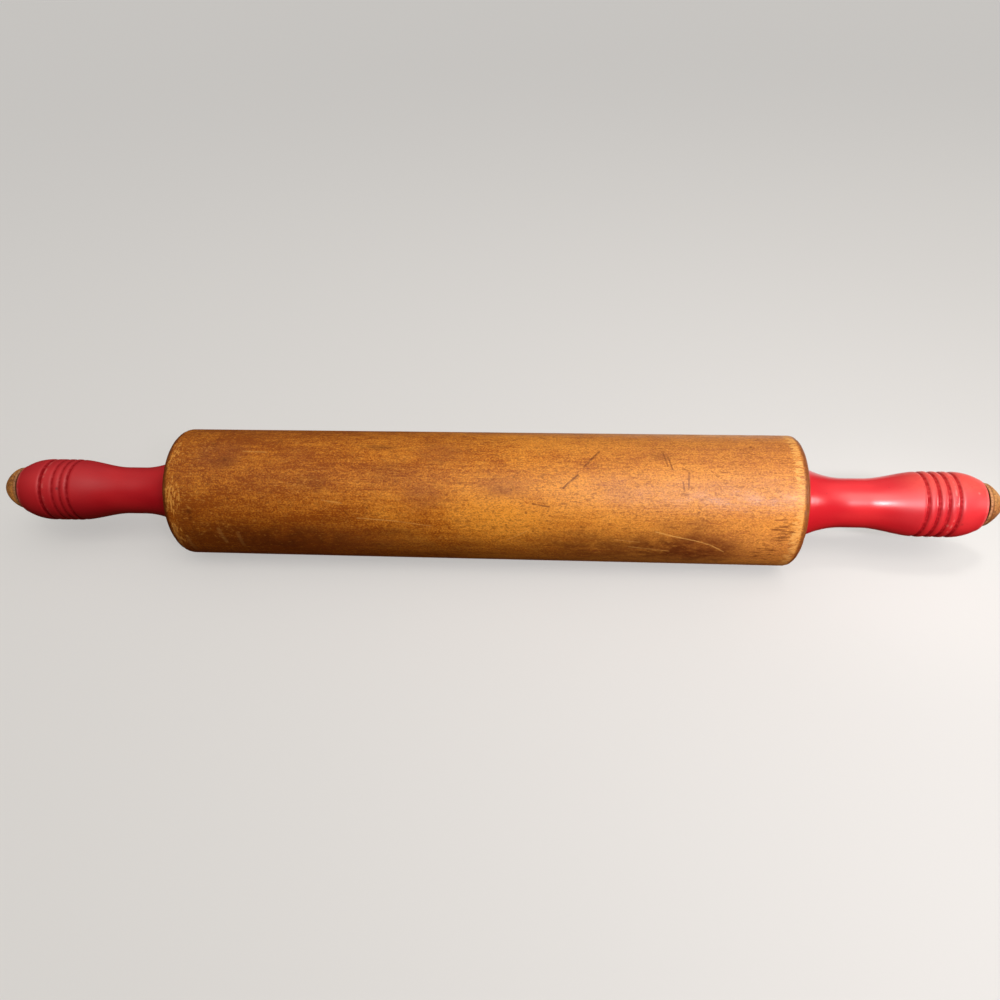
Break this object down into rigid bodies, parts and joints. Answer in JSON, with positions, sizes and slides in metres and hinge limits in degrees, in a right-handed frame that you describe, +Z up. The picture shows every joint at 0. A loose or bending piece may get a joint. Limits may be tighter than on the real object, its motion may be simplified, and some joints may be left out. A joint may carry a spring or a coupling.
{
  "type": "rolling pin",
  "caption": "Wooden rolling pin: a bare turned roller spins on a steel axle between loose red painted handles with turned grooves and bare wooden tips.",
  "frame": {"origin": "on the resting surface, under the middle of the pin", "axes": "+X along the axle towards the handle at the right of the picture, +Z up"},
  "size_m": [0.4244, 0.0534, 0.0534],
  "materials": {
    "roller_wood": "aged oiled maple, satin, darkened by use",
    "red_paint": "semi-gloss red enamel on turned wood",
    "tip_wood": "bare aged wood, matt",
    "steel": "plain drawn steel",
    "bush_brass": "plain turned brass",
    "washer_fibre": "dark vulcanised fibre"
  },
  "bodies": {
    "axle": {"axle": "steel", "left_thrust_washer": "washer_fibre", "right_thrust_washer": "washer_fibre", "left_end_washer": "steel", "right_end_washer": "steel", "left_nut": "steel", "right_nut": "steel", "left_tip": "tip_wood", "right_tip": "tip_wood"},
    "roller": {"roller": "roller_wood", "left_bush": "bush_brass", "right_bush": "bush_brass"},
    "left_handle": {"left_handle": "red_paint"},
    "right_handle": {"right_handle": "red_paint"}
  },
  "joints": [
    {"name": "roller_spin", "type": "hinge", "parent": "axle", "child": "roller", "pos_m": [0, 0, 0.0267], "axis": [1, 0, 0], "continuous": true},
    {"name": "left_handle_spin", "type": "hinge", "parent": "axle", "child": "left_handle", "pos_m": [-0.1645, 0, 0.0267], "axis": [1, 0, 0], "continuous": true},
    {"name": "right_handle_spin", "type": "hinge", "parent": "axle", "child": "right_handle", "pos_m": [0.1645, 0, 0.0267], "axis": [1, 0, 0], "continuous": true}
  ]
}
